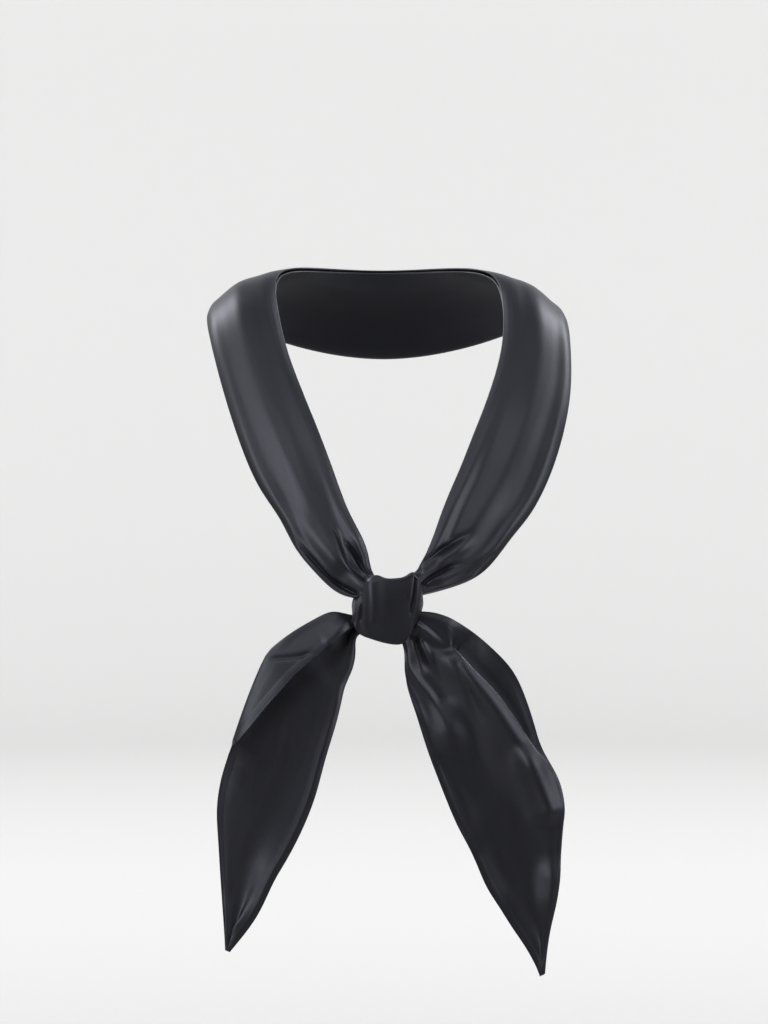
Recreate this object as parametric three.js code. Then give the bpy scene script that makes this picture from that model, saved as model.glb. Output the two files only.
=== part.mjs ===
// A sailor tie: a dark satin neckerchief that goes round the neck, comes down over both
// shoulders, is gathered into a flat knot on the chest and ends in two pointed tails.
// Units are millimetres. +Z is up, the wearer faces -Y, and the origin is where the cloth
// sits on the nape of the neck.
import * as THREE from "three";

// Driving dimensions
const CLOTH = 1.2; // thickness of one layer of cloth
const KNOT_WALL = 2; // the wrap of the knot is two layers thick
const LAYER_GAP = 2.6; // between the two layers of the folded neck band, middle to middle
const ACROSS_BAND = 20; // steps across the neck band, both layers
const ALONG_BAND = 58;
const EVEN_BAND = 0.6; // 0: steps follow the rows of its table, 1: steps of even length
const ACROSS_TAIL = 13; // to the fold at its silhouette or ridge
const PAST_FOLD = 7;
const ALONG_TAIL = 32;
const ROUND_KNOT = 40;
const UP_KNOT = 8;
const FINE_STEPS = 180; // points on a section's curve before it is spaced out evenly

// The neck band, from the left end inside the knot, round the nape, to the right end.
// inner and outer: the band's two long edges, on the wearer. crown: how far the band arches
// off the straight line between them. pleat: height of its lengthwise folds. open: extra
// room between its two layers.
const BAND = [
  { inner: [0.5, -177, -196.5], outer: [-11.5, -179, -206], crown: 0.5, pleat: 0.6, open: 5 },
  { inner: [-6.2, -176, -190], outer: [-17, -178, -205.4], crown: 1, pleat: 0.9, open: 4.6 },
  { inner: [-9, -173, -178.5], outer: [-29, -174, -201.5], crown: 1.5, pleat: 1.2, open: 2.4 },
  { inner: [-13.5, -169, -166], outer: [-42.8, -171, -189.5], crown: 2, pleat: 1.3, open: 2 },
  { inner: [-22, -161, -150], outer: [-55.5, -165, -174.5], crown: 2.5, pleat: 1.2, open: 1.6 },
  { inner: [-31, -151, -127], outer: [-66, -158, -156], crown: 3, pleat: 1, open: 1.2 },
  { inner: [-41, -138, -101], outer: [-79, -149, -137], crown: 3.5, pleat: 0.8, open: 0.8 },
  { inner: [-51, -122, -78], outer: [-92, -134, -109], crown: 4, pleat: 0.6, open: 0.6 },
  { inner: [-62, -101, -50], outer: [-104, -112, -75], crown: 5, pleat: 0.5, open: 0.4 },
  { inner: [-68.5, -78, -22], outer: [-113, -87, -44], crown: 6, pleat: 0.45, open: 0.4 },
  { inner: [-68, -52, -6], outer: [-115, -57, -29], crown: 6.5, pleat: 0.4, open: 0.4 },
  { inner: [-58, -27, 0], outer: [-104, -22, -32], crown: 6, pleat: 0.4, open: 0.4 },
  { inner: [-36, -9, 1], outer: [-70, 9, -48], crown: 4.5, pleat: 0.4, open: 0.4 },
  { inner: [0, -1, 0.5], outer: [0, 21, -60], crown: 3.5, pleat: 0.4, open: 0.4 },
  { inner: [36, -9, 1], outer: [70, 9, -48], crown: 4.5, pleat: 0.4, open: 0.4 },
  { inner: [59, -27, -1], outer: [105, -22, -33], crown: 6, pleat: 0.4, open: 0.4 },
  { inner: [71.5, -52, -8], outer: [117.5, -57, -31], crown: 6.5, pleat: 0.4, open: 0.4 },
  { inner: [76, -77, -25], outer: [120.5, -86, -46], crown: 6, pleat: 0.45, open: 0.4 },
  { inner: [74.5, -101, -51], outer: [120, -110, -74], crown: 5, pleat: 0.5, open: 0.4 },
  { inner: [65.5, -124, -81], outer: [115, -131, -101], crown: 4, pleat: 0.7, open: 0.6 },
  { inner: [56, -138, -104], outer: [106, -145, -128], crown: 3.5, pleat: 0.9, open: 0.9 },
  { inner: [47.5, -149, -124], outer: [93.5, -155, -152], crown: 3, pleat: 1.1, open: 1.2 },
  { inner: [39.5, -158, -142], outer: [80.5, -163, -168], crown: 2.5, pleat: 1.3, open: 1.6 },
  { inner: [32.5, -166, -159], outer: [67, -168, -184.5], crown: 2, pleat: 1.3, open: 2 },
  { inner: [27, -172, -173.5], outer: [49.5, -172, -196], crown: 1.5, pleat: 1.2, open: 2.4 },
  { inner: [19.5, -176, -188], outer: [24, -178, -203], crown: 1, pleat: 0.8, open: 4.4 },
  { inner: [9.5, -177, -193.5], outer: [13.5, -179, -205], crown: 0.5, pleat: 0.6, open: 5 },
];

// The band's lengthwise folds: how high each one stands, at its share of the width.
const BAND_FOLDS = [
  { at: 0.02, height: 0 },
  { at: 0.13, height: 2.4 },
  { at: 0.27, height: -1 },
  { at: 0.52, height: 2.3 },
  { at: 0.79, height: -1 },
  { at: 0.92, height: 1.5 },
];

// The tails, from the end inside the knot to the point. inner: the edge that faces the other
// tail. outer: the silhouette on the far side. Where the left tail's cloth is folded forward,
// flap is the share of the width that its free edge reaches back over the front. Where the
// right tail is tucked, ridge is the share of the width that shows behind the tuck, and
// tuck is how deep it goes. lift opens the layers, and trough hollows the middle.
const LEFT_TAIL = [
  { inner: [-6.5, -180, -223], outer: [-12, -180, -215], flap: 0.5, lift: 3.6, trough: 0.5 },
  { inner: [-16.8, -181, -228.5], outer: [-20, -180, -215.4], flap: 0.5, lift: 4.2, trough: 0.5 },
  { inner: [-18.1, -182, -237.9], outer: [-31.2, -180, -213.4], flap: 0.5, lift: 6.5, trough: 1 },
  { inner: [-20, -184, -248.9], outer: [-41.8, -181, -217], flap: 0.46, lift: 7.5, trough: 2 },
  { inner: [-24.3, -186, -259.2], outer: [-53.6, -184, -223.4], flap: 0.43, lift: 8, trough: 3 },
  { inner: [-26.8, -189, -269], outer: [-63.2, -187, -229.7], flap: 0.4, lift: 8, trough: 4 },
  { inner: [-29.3, -191, -279.4], outer: [-71.2, -189, -236.4], flap: 0.36, lift: 7.5, trough: 4.8 },
  { inner: [-32.3, -193, -289.7], outer: [-76.8, -191, -245.9], flap: 0.31, lift: 7, trough: 5.2 },
  { inner: [-37.3, -195, -306.4], outer: [-84.8, -193, -265.3], flap: 0.2, lift: 6, trough: 5.4 },
  { inner: [-42.3, -197, -324.9], outer: [-91.5, -195, -284.3], flap: 0.09, lift: 5, trough: 5.2 },
  { inner: [-47.9, -198, -340.4], outer: [-97.2, -196, -301.8], flap: 0, lift: 4, trough: 4.6 },
  { inner: [-54.1, -199, -354], outer: [-101.9, -197, -317.5], flap: 0, lift: 3.2, trough: 4 },
  { inner: [-61.9, -199, -368.5], outer: [-104.2, -197, -331], flap: 0, lift: 2.6, trough: 3.4 },
  { inner: [-69.7, -199, -382.3], outer: [-104.6, -197, -348], flap: 0, lift: 2.2, trough: 2.8 },
  { inner: [-79, -198, -401.5], outer: [-103.2, -196, -374], flap: 0, lift: 1.8, trough: 2 },
  { inner: [-90.4, -198, -417.5], outer: [-101, -196, -403], flap: 0, lift: 1.4, trough: 0.8 },
  { inner: [-96.4, -197, -425], outer: [-99.4, -197, -424], flap: 0, lift: 1, trough: 0.2 },
];
const RIGHT_TAIL = [
  { inner: [5, -183, -222.5], outer: [13.5, -183, -214], ridge: 0.2, tuck: 2.5, lift: 2.6, trough: 0.5 },
  { inner: [12, -184, -234.5], outer: [23.4, -182, -213], ridge: 0.24, tuck: 4, lift: 3.2, trough: 0.8 },
  { inner: [13.1, -184, -247.4], outer: [35, -182, -214.6], ridge: 0.26, tuck: 6, lift: 3.8, trough: 1.4 },
  { inner: [15, -185, -261.4], outer: [45.5, -182, -219.2], ridge: 0.26, tuck: 8, lift: 4.2, trough: 2 },
  { inner: [20, -187, -276.8], outer: [56.1, -184, -226.1], ridge: 0.25, tuck: 9, lift: 4.6, trough: 2.6 },
  { inner: [26.2, -189, -296], outer: [67.4, -187, -235.6], ridge: 0.235, tuck: 9, lift: 4.8, trough: 3 },
  { inner: [32.4, -191, -313.2], outer: [78.5, -189, -247.2], ridge: 0.21, tuck: 8.5, lift: 4.8, trough: 3.2 },
  { inner: [40.5, -193, -333.7], outer: [86.2, -191, -261.3], ridge: 0.17, tuck: 7.5, lift: 4.6, trough: 3.2 },
  { inner: [46.9, -195, -347.8], outer: [92.8, -193, -280.2], ridge: 0.11, tuck: 5.5, lift: 4, trough: 3 },
  { inner: [52.9, -197, -358.9], outer: [99, -195, -298.3], ridge: 0.04, tuck: 3, lift: 3, trough: 2.8 },
  { inner: [58.5, -198, -371.2], outer: [108.2, -196, -315.5], ridge: 0, tuck: 0, lift: 2, trough: 2.6 },
  { inner: [64.3, -199, -384.2], outer: [112.2, -197, -333.4], ridge: 0, tuck: 0, lift: 1.4, trough: 2.4 },
  { inner: [72.2, -199, -396.8], outer: [111.2, -197, -349.6], ridge: 0, tuck: 0, lift: 1, trough: 2.2 },
  { inner: [80, -199, -409.2], outer: [109.8, -197, -368.4], ridge: 0, tuck: 0, lift: 0.8, trough: 1.8 },
  { inner: [88.4, -198, -422], outer: [106.8, -196, -392.4], ridge: 0, tuck: 0, lift: 0.8, trough: 1 },
  { inner: [94.6, -198, -433.4], outer: [102.6, -196, -418], ridge: 0, tuck: 0, lift: 0.6, trough: 0.4 },
  { inner: [97.4, -197, -440.4], outer: [100.6, -197, -438.8], ridge: 0, tuck: 0, lift: 0.5, trough: 0.1 },
];
const TAIL_LIP = 6.5; // width of the roll along a tail's inner edge
const HEM = 2; // width of the sewn edge
const FOLD_FADE = 3; // a fold narrower than this runs out into the hem
const GATHERS = 2.5; // waves across a tail where it leaves the knot
const GATHER_HEIGHT = 1.1;

// The wrap of the knot: its upper and lower rim at steps round the knot, from the middle of
// its face by way of -X and the back to +X and the face again.
// swell is how far the wall stands out between the rims.
const WRAP = [
  { top: [6.5, -194, -191.6], bottom: [-2, -194, -230.4], swell: 3 },
  { top: [-0.5, -194, -191.2], bottom: [-9.5, -194, -228], swell: 2.8 },
  { top: [-7.5, -193, -190.5], bottom: [-15.5, -192.5, -225.2], swell: 2.4 },
  { top: [-13.8, -190, -201.5], bottom: [-18.6, -189.5, -219.5], swell: 1.3 },
  { top: [-18.8, -182, -206.2], bottom: [-19.4, -182, -213.9], swell: 0.5 },
  { top: [-15, -174, -203], bottom: [-16, -174, -217], swell: 0.6 },
  { top: [2.5, -171.2, -199], bottom: [1, -171.2, -222.5], swell: 1 },
  { top: [18.5, -173, -200.5], bottom: [16.5, -173, -218], swell: 0.6 },
  { top: [23.6, -182, -205.8], bottom: [23.4, -182, -211.4], swell: 0.5 },
  { top: [22.8, -190, -197.5], bottom: [18.2, -190, -221.5], swell: 1.2 },
  { top: [19.2, -193.3, -188.2], bottom: [12.4, -193.3, -230.8], swell: 2.2 },
  { top: [13.4, -194, -190.2], bottom: [5, -194, -231.8], swell: 2.8 },
];
// Upright folds in the face of the wrap: place round it in rows of the table, height, width.
const WRAP_FOLDS = [
  { at: 2.15, height: 1.1, width: 0.3 },
  { at: 1.45, height: -0.5, width: 0.25 },
  { at: 10.35, height: -2, width: 0.22 },
  { at: 9.8, height: 1, width: 0.35 },
];

const vector = (p) => new THREE.Vector3(...p);

// A column of a table at a place between its rows, on a smooth curve through all of them.
function along(table, column, place, closed = false) {
  const last = table.length - 1;
  const row = Math.min(Math.floor(place), closed ? last : last - 1);
  const t = place - row;
  const pick = (i) => {
    const at = closed ? (i + table.length) % table.length : Math.min(Math.max(i, 0), last);
    return table[at][column];
  };
  const [a, b, c, d] = [row - 1, row, row + 1, row + 2].map(pick);
  const mix = (p, q, r, s) =>
    q + 0.5 * t * (r - p + t * (2 * p - 5 * q + 4 * r - s + t * (3 * (q - r) + s - p)));
  return Array.isArray(b) ? b.map((_, k) => mix(a[k], b[k], c[k], d[k])) : mix(a, b, c, d);
}

// The length of the way along a row of points, up to each of them.
function runOf(points) {
  const run = [0];
  for (let i = 1; i < points.length; i++) run.push(run[i - 1] + points[i].distanceTo(points[i - 1]));
  return run;
}

// Points along a smooth curve through (across, out) pairs, spaced evenly up to the pair
// numbered turn, and evenly again from there to the end, so that the turn keeps its place.
function spaced(pairs, before, turn = pairs.length - 1, after = 0) {
  const ends = pairs.map(([a, b]) => new THREE.Vector3(a, b, 0));
  const fine = new THREE.CatmullRomCurve3(ends, false, "centripetal").getPoints(FINE_STEPS);
  const corner = Math.round((turn / (pairs.length - 1)) * FINE_STEPS);
  const evenly = (points, count) => {
    const lengths = runOf(points);
    const found = [];
    for (let i = 0, k = 1; i <= count; i++) {
      const want = (lengths.at(-1) * i) / count;
      while (k < points.length - 1 && lengths[k] < want) k++;
      const share = (want - lengths[k - 1]) / (lengths[k] - lengths[k - 1]);
      found.push(points[k - 1].clone().lerp(points[k], share));
    }
    return found;
  };
  const first = evenly(fine.slice(0, corner + 1), before);
  return after ? [...first, ...evenly(fine.slice(corner), after).slice(1)] : first;
}

// Pairs part of the way from one list to another.
const between = (from, to, share) =>
  from.map(([a, b], k) => [a + share * (to[k][0] - a), b + share * (to[k][1] - b)]);

// The direction square to each of a grid's points, from its neighbours.
function normalsOf(grid, closed) {
  const rows = grid.length;
  return grid.map((points, i) =>
    points.map((_, j) => {
      const up = grid[closed ? (i + 1) % rows : Math.min(i + 1, rows - 1)][j];
      const down = grid[closed ? (i + rows - 1) % rows : Math.max(i - 1, 0)][j];
      const left = points[Math.max(j - 1, 0)];
      const right = points[Math.min(j + 1, points.length - 1)];
      return right.clone().sub(left).cross(up.clone().sub(down)).normalize();
    }),
  );
}

// A closed wall of even thickness round the middle surface that a grid of points describes.
// With closed true, the last row of the grid joins the first.
function wall(grid, thickness, closed = false) {
  const normals = normalsOf(grid, closed);
  const rows = grid.length;
  const columns = grid[0].length;
  const positions = [];
  for (const side of [0.5, -0.5])
    grid.forEach((points, i) =>
      points.forEach((p, j) => {
        const q = p.clone().addScaledVector(normals[i][j], side * thickness);
        positions.push(q.x, q.y, q.z);
      }),
    );
  const back = rows * columns;
  const id = (i, j) => (i % rows) * columns + j;
  const faces = [];
  const quad = (a, b, c, d) => faces.push(a, b, c, a, c, d);
  const spans = closed ? rows : rows - 1;
  for (let i = 0; i < spans; i++) {
    for (let j = 0; j < columns - 1; j++) {
      quad(id(i, j), id(i, j + 1), id(i + 1, j + 1), id(i + 1, j));
      quad(back + id(i, j), back + id(i + 1, j), back + id(i + 1, j + 1), back + id(i, j + 1));
    }
    quad(id(i, 0), id(i + 1, 0), back + id(i + 1, 0), back + id(i, 0));
    const e = columns - 1;
    quad(id(i, e), back + id(i, e), back + id(i + 1, e), id(i + 1, e));
  }
  if (!closed)
    for (let j = 0; j < columns - 1; j++) {
      const e = rows - 1;
      quad(id(0, j), back + id(0, j), back + id(0, j + 1), id(0, j + 1));
      quad(id(e, j), id(e, j + 1), back + id(e, j + 1), back + id(e, j));
    }
  return facingOut(positions, faces);
}

// A geometry whose faces point out, whichever way round its grid was written.
function facingOut(positions, faces) {
  const p = (i) => new THREE.Vector3(...positions.slice(3 * i, 3 * i + 3));
  let volume = 0;
  for (let i = 0; i < faces.length; i += 3)
    volume += p(faces[i]).dot(p(faces[i + 1]).cross(p(faces[i + 2])));
  if (volume < 0)
    for (let i = 0; i < faces.length; i += 3) [faces[i + 1], faces[i + 2]] = [faces[i + 2], faces[i + 1]];
  const geometry = new THREE.BufferGeometry();
  geometry.setAttribute("position", new THREE.Float32BufferAttribute(positions, 3));
  geometry.setIndex(faces);
  geometry.computeVertexNormals();
  return geometry;
}

// A strip of cloth: section(row, width) gives its curve as even (across, out) points, and
// each is set between the strip's inner and outer edge. out points away from the wearer.
// even, from 0 to 1, shares the steps out by length rather than by rows of the table.
function strip(table, steps, section, outward, even = 0) {
  const grid = [];
  const at = (column, place) => vector(along(table, column, place));
  const middle = (place) => at("inner", place).add(at("outer", place)).multiplyScalar(0.5);
  const run = runOf(table.map((_, row) => middle(row)));
  const byLength = (share) => {
    const want = share * run.at(-1);
    const row = Math.max(1, run.findIndex((length) => length >= want));
    return row - 1 + (want - run[row - 1]) / (run[row] - run[row - 1]);
  };
  for (let i = 0; i <= steps; i++) {
    const place = (1 - even) * (((table.length - 1) * i) / steps) + even * byLength(i / steps);
    const inner = at("inner", place);
    const outer = at("outer", place);
    const ahead = middle(Math.min(place + 0.5, table.length - 1));
    const travel = ahead.sub(middle(Math.max(place - 0.5, 0)));
    const across = outer.clone().sub(inner);
    const width = across.length();
    across.normalize();
    const out = travel.cross(across).normalize().multiplyScalar(outward);
    const share = i / steps;
    grid.push(
      section(place, width, share).map((q) =>
        inner.clone().addScaledVector(across, q.x).addScaledVector(out, q.y),
      ),
    );
  }
  return grid;
}

// The neck band's section: the outer layer with its folds, round the fold at the outer edge,
// and back along the plain inner layer.
function bandSection(place, width) {
  const pleat = along(BAND, "pleat", place);
  const gap = LAYER_GAP + along(BAND, "open", place);
  const crown = (share) => along(BAND, "crown", place) * 4 * share * (1 - share);
  const front = BAND_FOLDS.map(({ at, height }) => [at * width, gap + height * pleat + crown(at)]);
  const fold = [width, gap / 2];
  const back = [0.93, 0.5, 0.03].map((share) => [share * width, crown(share)]);
  return spaced([...front, fold, ...back], ACROSS_BAND);
}

// Waves where a tail is gathered into the knot, dying away along it.
function gathered(points, share) {
  const fade = Math.max(0, 1 - share / 0.35) ** 1.5;
  points.forEach((p, i) => {
    const s = i / (points.length - 1);
    p.y += GATHER_HEIGHT * fade * Math.sin(2 * Math.PI * GATHERS * s);
  });
  return points;
}

// The left tail: a back layer with a rolled inner edge and a hollow in the middle, folded
// forward at the silhouette into a flap. Below the flap the cloth runs out flat to its hem.
function leftSection(place, width, share) {
  const lift = along(LEFT_TAIL, "lift", place);
  const trough = along(LEFT_TAIL, "trough", place);
  const reach = Math.max(0, along(LEFT_TAIL, "flap", place)) * width;
  const lip = Math.min(TAIL_LIP, 0.3 * width);
  const hem = Math.min(HEM, 0.3 * width);
  const back = [
    [0, 0],
    [0.45 * lip, 0.32 * lip],
    [1.25 * lip, 0.1 * lip],
    [0.5 * width, -trough],
    [0.84 * width, -0.45 * trough],
  ];
  const folded = [
    [width, 0.45 * lift],
    [width - 0.3 * reach, lift],
    [width - reach, 1.1 * lift],
  ];
  const flat = [
    [width - hem, 0.3 * lift],
    [width - 0.5 * hem, 0.4 * lift],
    [width, 0.5 * lift],
  ];
  const pairs = [...back, ...between(flat, folded, Math.min(1, reach / FOLD_FADE))];
  return gathered(spaced(pairs, ACROSS_TAIL, 5, PAST_FOLD), share);
}

// The right tail: the front layer runs from a rolled inner edge to a ridge, tucks in under
// itself there, and comes out again as the layer that shows behind. Below the tuck the
// cloth runs out flat to its hem.
function rightSection(place, width, share) {
  const lift = along(RIGHT_TAIL, "lift", place);
  const trough = along(RIGHT_TAIL, "trough", place);
  const tuck = Math.max(0, along(RIGHT_TAIL, "tuck", place));
  const lip = Math.min(TAIL_LIP, 0.3 * width);
  const hem = Math.min(HEM, 0.3 * width);
  const ridge = width - Math.max(hem, along(RIGHT_TAIL, "ridge", place) * width);
  const front = [
    [0, 0],
    [0.5 * lip, 0.3 * lip],
    [1.4 * lip, 0.12 * lip],
    [0.5 * ridge, 0.6 * lift - trough],
    [0.86 * ridge, lift],
    [ridge, 0.5 * lift],
  ];
  const tucked = [
    [ridge - 0.5 * tuck, -0.1 * lift],
    [ridge - tuck, -0.5 * lift],
    [ridge - 0.4 * tuck, -1.05 * lift],
    [width, -lift],
  ];
  const flat = [0.25, 0.5, 0.75, 1].map((k) => [ridge + k * (width - ridge), 0.5 * (1 - k) * lift]);
  const pairs = [...front, ...between(flat, tucked, Math.min(1, tuck / FOLD_FADE))];
  return gathered(spaced(pairs, ACROSS_TAIL, 5, PAST_FOLD), share);
}

// The wrap of the knot as rings from its lower rim to its upper rim, one for each step round.
function wrapGrid() {
  const centre = new THREE.Vector3(3, -182, -210);
  const grid = [];
  for (let i = 0; i < ROUND_KNOT; i++) {
    const place = (WRAP.length * i) / ROUND_KNOT;
    const top = vector(along(WRAP, "top", place, true));
    const bottom = vector(along(WRAP, "bottom", place, true));
    const swell = along(WRAP, "swell", place, true);
    const crease = WRAP_FOLDS.reduce(
      (sum, { at, height, width }) => sum + height * Math.exp(-(((place - at) / width) ** 2)),
      0,
    );
    const points = [];
    for (let j = 0; j <= UP_KNOT; j++) {
      const h = j / UP_KNOT;
      const p = bottom.clone().lerp(top, h);
      const out = p.clone().sub(centre).setZ(0).normalize();
      const round = Math.sqrt(Math.sin(Math.PI * (0.06 + 0.88 * h)));
      points.push(p.addScaledVector(out, swell * round + crease * Math.sin(Math.PI * h)));
    }
    grid.push(points);
  }
  return grid;
}

const satin = (color) => new THREE.MeshStandardMaterial({ color, roughness: 0.55, metalness: 0 });

function cloth(name, geometry, color) {
  const mesh = new THREE.Mesh(geometry, satin(color));
  mesh.name = name;
  return mesh;
}

const tie = new THREE.Group();
tie.add(
  cloth("neck_band", wall(strip(BAND, ALONG_BAND, bandSection, 1, EVEN_BAND), CLOTH), 0x2b2b31),
  cloth("knot_wrap", wall(wrapGrid(), KNOT_WALL, true), 0x232328),
  cloth("left_tail", wall(strip(LEFT_TAIL, ALONG_TAIL, leftSection, -1), CLOTH), 0x26262b),
  cloth("right_tail", wall(strip(RIGHT_TAIL, ALONG_TAIL, rightSection, 1), CLOTH), 0x26262b),
);

export default tie;
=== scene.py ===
import math

import bpy
import numpy as np
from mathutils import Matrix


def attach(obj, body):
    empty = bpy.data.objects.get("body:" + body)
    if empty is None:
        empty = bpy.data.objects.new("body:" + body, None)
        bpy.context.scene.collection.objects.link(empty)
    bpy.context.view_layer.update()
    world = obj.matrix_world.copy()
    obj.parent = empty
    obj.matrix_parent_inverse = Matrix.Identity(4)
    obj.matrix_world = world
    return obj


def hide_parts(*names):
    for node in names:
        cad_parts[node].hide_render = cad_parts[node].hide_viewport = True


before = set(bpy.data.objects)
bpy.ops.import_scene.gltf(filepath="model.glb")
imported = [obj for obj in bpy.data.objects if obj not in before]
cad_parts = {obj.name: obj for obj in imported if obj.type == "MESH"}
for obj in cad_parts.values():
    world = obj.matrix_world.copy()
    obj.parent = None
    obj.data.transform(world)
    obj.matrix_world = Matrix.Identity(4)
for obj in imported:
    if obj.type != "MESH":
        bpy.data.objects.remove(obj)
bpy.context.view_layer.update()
scene = bpy.context.scene
mm = 0.001  # one millimetre in metres
tiny = 1e-12  # keeps a division from meeting zero
print("stage: frame loaded")


# Weights that turn the rows of a table into values at places between them: a cubic spline.
# Its second derivatives solve the usual three-term equations, with zero at both ends, or
# round the loop where the table is closed.
def splineWeights(rowCount, places, closed=False):
    one = np.eye(rowCount)
    beside = np.roll(one, 1, axis=1) + np.roll(one, -1, axis=1)
    left, right = 4 * one + beside, 6 * beside - 12 * one
    if not closed:
        left[[0, -1]], right[[0, -1]] = one[[0, -1]], 0
    bend = np.linalg.solve(left, right)
    row = np.clip(np.floor(places).astype(int), 0, rowCount - (1 if closed else 2))
    following = (row + 1) % rowCount
    t = (places - row)[:, None]
    s = 1 - t
    return s * one[row] + t * one[following] + ((s**3 - s) * bend[row] + (t**3 - t) * bend[following]) / 6


# A smooth curve through each row's own points (rows, points, 2): centripetal Catmull-Rom, whose
# parameter steps by the square root of the distance to the next point. Four points in a row are
# blended in three rounds: between neighbours, over two steps, and over the span in the middle.
def throughPoints(points, perSpan=24):
    before, beyond = 2 * points[:, :1] - points[:, 1:2], 2 * points[:, -1:] - points[:, -2:-1]
    p = np.concatenate([before, points, beyond], axis=1)
    gaps = np.sqrt(np.linalg.norm(np.diff(p, axis=1), axis=2)).clip(1e-3)  # never quite zero
    knots = np.concatenate([np.zeros((len(p), 1)), np.cumsum(gaps, axis=1)], axis=1)
    curve = []
    for k in range(1, p.shape[1] - 2):
        a = [knots[:, k - 1 + i, None] for i in range(4)]
        t = a[1] + (a[2] - a[1]) * (np.arange(perSpan) / perSpan)
        level = [p[:, k - 1 + i, None, :] for i in range(4)]
        for pairs in (((0, 1), (1, 2), (2, 3)), ((0, 2), (1, 3)), ((1, 2),)):
            shares = [((t - a[i]) / (a[j] - a[i]))[..., None] for i, j in pairs]
            level = [level[i] * (1 - s) + level[i + 1] * s for i, s in enumerate(shares)]
        curve.append(level[0])
    return np.concatenate(curve + [points[:, -1:]], axis=1)


# Points spaced evenly along each of many curves: the lengths are summed along every curve,
# and each share of the total is looked up between the two fine points on either side of it.
def evenly(curves, count):
    steps = np.linalg.norm(np.diff(curves, axis=1), axis=2)
    run = np.concatenate([np.zeros((len(curves), 1)), np.cumsum(steps, axis=1)], axis=1)
    wanted = run[:, -1:] * np.linspace(0, 1, count + 1)
    low = (wanted[:, :, None] >= run[:, None, :]).sum(axis=2) - 1
    low = np.clip(low, 0, curves.shape[1] - 2)
    lines = np.arange(len(curves))[:, None]
    t = (wanted - run[lines, low]) / np.maximum(run[lines, low + 1] - run[lines, low], tiny)
    return curves[lines, low] * (1 - t)[..., None] + curves[lines, low + 1] * t[..., None]


# 0 below low, 1 above high, and a ramp with soft ends between them.
def ramp(low, high, x):
    t = np.clip((x - low) / (high - low), 0, 1)
    return t * t * (3 - 2 * t)


# Smooth noise, about -1 to 1: random heights on a lattice, read at fractional places with the
# weights of a cubic B-spline in both directions. The weights add up to 36, and the sum is
# doubled, because blending flattens it.
def softNoise(u, v, seed, size=64):
    heights = np.random.default_rng(seed).uniform(-1, 1, (size, size))
    cells = [np.floor(x).astype(int) for x in (u, v)]
    shares = [x - c for x, c in zip((u, v), cells)]
    weights = [((1 - t) ** 3, 3 * t**3 - 6 * t**2 + 4, 3 * (t + t**2 - t**3) + 1, t**3) for t in shares]
    pairs = [(i, j) for i in range(4) for j in range(4)]
    found = [
        weights[0][i] * weights[1][j] * heights[(cells[0] + i) % size, (cells[1] + j) % size]
        for i, j in pairs
    ]
    return sum(found) / 36 * 2


# The direction square to a grid's surface, from the differences between its neighbours.
def squareTo(grid, closed=False):
    if closed:
        along = np.roll(grid, -1, axis=0) - np.roll(grid, 1, axis=0)
    else:
        along = np.gradient(grid, axis=0)
    normal = np.cross(np.gradient(grid, axis=1), along)
    return normal / np.maximum(np.linalg.norm(normal, axis=2, keepdims=True), tiny)


# How far each point stands out because of the creases near it. A crease is a path of (x, z)
# places seen from the front, a height and a width in millimetres. Its profile is a bell over
# the distance to the path: height * exp(-(distance / width) ** 2). It fades away over the
# first and the last part of the path, which fade gives as shares of it.
def creaseHeights(grid, creases, pathPoints=60):
    x, z = grid[..., 0], grid[..., 2]
    total = np.zeros(x.shape)
    for crease in creases.values():
        path = np.array(crease["path"], float)
        fine = splineWeights(len(path), np.linspace(0, len(path) - 1, pathPoints)) @ path
        start, step = fine[:-1], np.diff(fine, axis=0)
        away = np.stack([x, z], axis=-1)[..., None, :] - start
        t = np.clip((away * step).sum(axis=-1) / (step**2).sum(axis=-1), 0, 1)
        rest = away - t[..., None] * step
        distance = np.linalg.norm(rest, axis=-1)
        nearest = distance.argmin(axis=-1)[..., None]
        near = np.take_along_axis(distance, nearest, axis=-1)[..., 0]
        share = (nearest[..., 0] + np.take_along_axis(t, nearest, axis=-1)[..., 0]) / len(start)
        first, last = crease["fade"]
        strength = ramp(0, first, share) * ramp(0, last, 1 - share)
        total += crease["height"] * strength * np.exp(-((near / crease["width"]) ** 2))
    return total


# The rows of a table as smooth functions of the place along it. Half of the spacing follows
# the length of the strip's middle and half the rows of the table, so that the closely
# described stretch at the knot gets more of the grid.
def laidOut(table, count, closed=False, finePlaces=1500):
    values = np.array([[*inner, *outer, *rest] for inner, outer, *rest in table], float)
    last = len(values) - (0 if closed else 1)
    places = np.linspace(0, last, finePlaces)
    middle = splineWeights(len(values), places, closed) @ (values[:, :3] + values[:, 3:6]) / 2
    run = np.concatenate([[0], np.cumsum(np.linalg.norm(np.diff(middle, axis=0), axis=1))])
    mixed = run / run[-1] + places / last
    wanted = np.linspace(0, 2, count, endpoint=not closed)
    return splineWeights(len(values), np.interp(wanted, mixed, places), closed) @ values


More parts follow.
